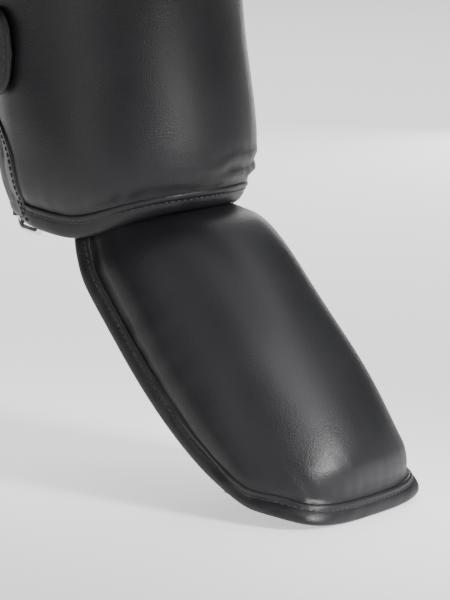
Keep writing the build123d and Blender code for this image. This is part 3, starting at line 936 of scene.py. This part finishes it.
def sew(name, lines, tree, body, seed):
    """One mesh of stitches along several lines, made by the node tree and then kept."""
    curve = bpy.data.curves.new(name + "_line", "CURVE")
    curve.dimensions = "3D"
    for line in lines:
        row = curve.splines.new("POLY")
        row.points.add(len(line) - 1)
        row.points.foreach_set("co", np.column_stack([line * MM, np.ones(len(line))]).ravel())
    guide = bpy.data.objects.new(name + "_line", curve)
    bpy.context.scene.collection.objects.link(guide)
    modifier = guide.modifiers.new("stitches", "NODES")
    modifier.node_group = tree
    names = {item.name: item.identifier for item in tree.interface.items_tree if item.in_out == "INPUT"}
    for key, value in STITCH_SIZES.items():
        modifier[names[key]] = value
    modifier[names["Seed"]] = seed
    modifier[names["Finish"]] = thread_finish
    graph = bpy.context.evaluated_depsgraph_get()
    mesh = bpy.data.meshes.new_from_object(guide.evaluated_get(graph), depsgraph=graph)
    mesh.name = name
    mesh.polygons.foreach_set("use_smooth", [True] * len(mesh.polygons))
    made = bpy.data.objects.new(name, mesh)
    bpy.context.scene.collection.objects.link(made)
    bpy.data.objects.remove(guide)
    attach(made, body)
    return made


# %% Sew the seams
seam_bodies = {name: "shin_pad" for name in seams}
seam_bodies.update({name: "instep_pad" for name in seams if name.startswith("instep")})
seam_bodies.update({"lower_tab": "lower_tab", "upper_tab": "upper_tab"})
stitches = stitch_tree()
for number, body in enumerate(sorted(set(seam_bodies.values()))):
    lines = [seams[name] for name in seams if seam_bodies[name] == body]
    sewn = sew(f"{body}_stitches", lines, stitches, body, number + 4)
    print(body, "stitches:", len(sewn.data.polygons), "faces")

# %% [markdown]
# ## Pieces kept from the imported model
# The ring, its keeper, the hook panels, the ankle's loop panel, the ankle strap and the
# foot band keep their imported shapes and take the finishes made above. They are small
# or hidden, so a finish is worth more on them than a new mesh.

# %% Finishes on the kept pieces
kept = {
    "strap_ring": plated, "ring_keeper": elastic_cloth, "ankle_strap_band": elastic_cloth,
    "ankle_strap_tab": trim_leather, "foot_band": elastic_cloth,
    "outer_band_anchor": elastic_cloth, "inner_band_anchor": elastic_cloth,
    "lower_strap_hook": pile_cloth, "upper_strap_hook": pile_cloth, "ankle_strap_hook": pile_cloth,
    "ankle_loop_panel": pile_cloth,
}
for name, material in kept.items():
    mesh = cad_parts[name].data
    mesh.materials.clear()
    mesh.materials.append(material)
print("kept pieces:", ", ".join(kept))

# %% [markdown]
# ## Floor and light
# The guard stands on its toe on a pale floor. Two tall soft boxes light the shin pad,
# one in front and to the right and one at the left, and the leather stays dark between
# their reflections. Three small boxes pick out the instep's crest, its outer side and
# the toe. A narrow one edges the inner side, and a wide light from behind clears the
# floor. The floor glows a little itself, which keeps it pale from every side.

# %% Floor
FLOOR = -148.6
reach = 30.0
floor_mesh = bpy.data.meshes.new("floor")
floor_mesh.from_pydata(
    [(-reach, -reach, FLOOR * MM), (reach, -reach, FLOOR * MM), (reach, reach, FLOOR * MM),
     (-reach, reach, FLOOR * MM)], [], [(0, 1, 2, 3)]
)
floor = bpy.data.objects.new("floor", floor_mesh)
bpy.context.scene.collection.objects.link(floor)
paper = bpy.data.materials.new("paper")
paper.use_nodes = True
paper.node_tree.nodes["Principled BSDF"].inputs["Base Color"].default_value = (0.93, 0.93, 0.93, 1)
paper.node_tree.nodes["Principled BSDF"].inputs["Roughness"].default_value = 0.9
paper.node_tree.nodes["Principled BSDF"].inputs["Specular IOR Level"].default_value = 0.1
paper.node_tree.nodes["Principled BSDF"].inputs["Emission Color"].default_value = (1, 1, 1, 1)
paper.node_tree.nodes["Principled BSDF"].inputs["Emission Strength"].default_value = 0.75
floor_mesh.materials.append(paper)


# %% Lights
def soft_box(name, azimuth, elevation, distance, width, height, power, target=(0, -0.02, 0.05), spread=180):
    data = bpy.data.lights.new(name, "AREA")
    data.spread = math.radians(spread)
    data.shape = "RECTANGLE"
    data.size, data.size_y, data.energy = width, height, power
    box = bpy.data.objects.new(name, data)
    a, e = math.radians(azimuth), math.radians(elevation)
    out = Vector((math.sin(a) * math.cos(e), -math.cos(a) * math.cos(e), math.sin(e)))
    box.location = Vector(target) + out * distance
    box.rotation_euler = out.to_track_quat("Z", "Y").to_euler()
    bpy.context.scene.collection.objects.link(box)
    return box


soft_box("key", 22, 26, 1.3, 0.44, 1.0, 1.0)
soft_box("fill", -75, 16, 1.3, 0.2, 1.0, 3.6)
soft_box("crest", 40, 44, 1.3, 0.45, 0.35, 2.4)
soft_box("high_left", -34, 48, 1.3, 0.36, 0.3, 1.8)
soft_box("toe", -2, 24, 0.9, 0.3, 0.24, 0.6, (0, -0.14, -0.10), 26)
soft_box("rim", 112, 16, 1.4, 0.22, 1.2, 4.5)
soft_box("overhead", 130, 62, 2.6, 2.6, 2.0, 60, (0.4, 0.3, -0.15))
world = bpy.data.worlds.new("studio")
world.use_nodes = True
world.node_tree.nodes["Background"].inputs["Color"].default_value = (1, 1, 1, 1)
world.node_tree.nodes["Background"].inputs["Strength"].default_value = 0.12
bpy.context.scene.world = world
